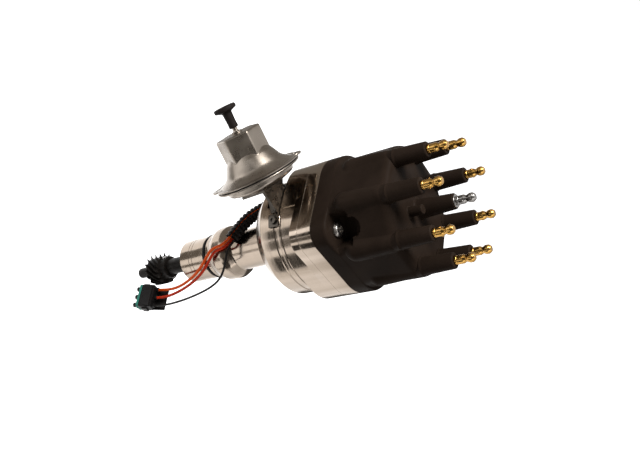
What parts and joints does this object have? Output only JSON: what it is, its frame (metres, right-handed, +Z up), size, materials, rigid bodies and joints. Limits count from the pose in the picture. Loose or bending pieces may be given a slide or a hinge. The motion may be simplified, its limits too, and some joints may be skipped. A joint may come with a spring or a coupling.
{
  "type": "ignition distributor",
  "caption": "Engine ignition distributor: black plug-tower cap on a machined housing with drive gear, vacuum advance canister and a wired pickup with its connector.",
  "frame": {"origin": "on the drive shaft axis, at the shoulder where the housing seats on the engine block", "axes": "+Z up the drive shaft towards the cap; +X towards the vacuum canister"},
  "size_m": [0.1536, 0.0975, 0.3033],
  "materials": {
    "cast_aluminium": "polished",
    "cap_plastic": "satin",
    "brass": "polished",
    "plated": "polished",
    "steel": "satin",
    "dark_steel": "satin",
    "bronze": "satin",
    "rubber": "matte",
    "green_seal": "matte",
    "orange_insulation": "satin",
    "red_insulation": "satin",
    "black_plastic": "satin",
    "carbon": "matte",
    "copper_coil": "satin"
  },
  "bodies": {
    "housing": {"base_plate": "steel", "bearing_clip": "steel", "bearing_ring": "bronze", "block_o_ring": "rubber", "bracket": "steel", "bracket_screw_1": "steel", "bracket_screw_2": "steel", "brush_spring": "steel", "canister_cover": "steel", "canister_cup": "steel", "cap_screw_1": "steel", "cap_screw_2": "steel", "carbon_brush": "carbon", "coil_terminal": "plated", "coil_washer": "plated", "diaphragm": "rubber", "distributor_cap": "cap_plastic", "grommet": "rubber", "hose_nipple": "plated", "housing": "cast_aluminium", "housing_top": "cast_aluminium", "ignition_module": "black_plastic", "loom": "black_plastic", "lower_bushing": "bronze", "plug_body": "black_plastic", "plug_seal": "green_seal", "plug_terminal_1": "brass", "plug_terminal_2": "brass", "plug_terminal_3": "brass", "plug_terminal_4": "brass", "plug_terminal_5": "brass", "plug_terminal_6": "brass", "plug_terminal_7": "brass", "plug_terminal_8": "brass", "thrust_washer": "steel", "upper_bushing": "bronze", "wire_black": "rubber", "wire_orange": "orange_insulation", "wire_red": "red_insulation"},
    "drive_shaft": {"drive_shaft": "dark_steel", "drive_gear": "dark_steel", "gear_pin": "steel", "centre_cam": "steel", "cam_clip": "steel"},
    "advance": {"advance_plate": "steel", "reluctor": "steel", "advance_spring_a": "steel", "advance_spring_b": "steel", "rotor": "cap_plastic", "rotor_blade": "brass", "rotor_screw_1": "steel", "rotor_screw_2": "steel"},
    "weight_a": {"weight_a": "steel"},
    "weight_b": {"weight_b": "steel"},
    "pickup": {"pickup_plate": "steel", "pole_piece": "steel", "pickup_coil": "copper_coil"},
    "vacuum_link": {"vacuum_link": "steel", "canister_spring": "steel"},
    "port_cap": {"port_cap": "rubber"}
  },
  "joints": [
    {"name": "shaft_turn", "type": "hinge", "parent": "housing", "child": "drive_shaft", "pos_m": [0, 0, 0], "axis": [0, 0, 1], "continuous": true},
    {"name": "advance_turn", "type": "hinge", "parent": "drive_shaft", "child": "advance", "pos_m": [0, 0, 0.097], "axis": [0, 0, -1], "range_deg": [0, 10], "stiffness_Nm_per_rad": 1},
    {"name": "weight_a_swing", "type": "hinge", "parent": "advance", "child": "weight_a", "pos_m": [0.023, 0, 0.1], "axis": [0, 0, -1], "range_deg": [0, 20.5]},
    {"name": "weight_b_swing", "type": "hinge", "parent": "advance", "child": "weight_b", "pos_m": [-0.023, 0, 0.1], "axis": [0, 0, -1], "range_deg": [0, 20.5]},
    {"name": "vacuum_pull", "type": "slide", "parent": "housing", "child": "vacuum_link", "axis": [0.999, 0, -0.0436], "range_m": [0, 0.0035], "stiffness_N_per_m": 3000},
    {"name": "pickup_turn", "type": "hinge", "parent": "housing", "child": "pickup", "pos_m": [0, 0, 0.082], "axis": [0, 0, -1], "range_deg": [0, 10.2]},
    {"name": "port_cap_pull", "type": "slide", "parent": "housing", "child": "port_cap", "axis": [0.999, 0, -0.0436], "range_m": [0, 0.012]}
  ],
  "couplings": [
    {"joint": "weight_a_swing", "follows": "advance_turn", "ratio": 2},
    {"joint": "weight_b_swing", "follows": "advance_turn", "ratio": 2},
    {"joint": "pickup_turn", "follows": "vacuum_pull", "rad_per_m": 49.81}
  ]
}
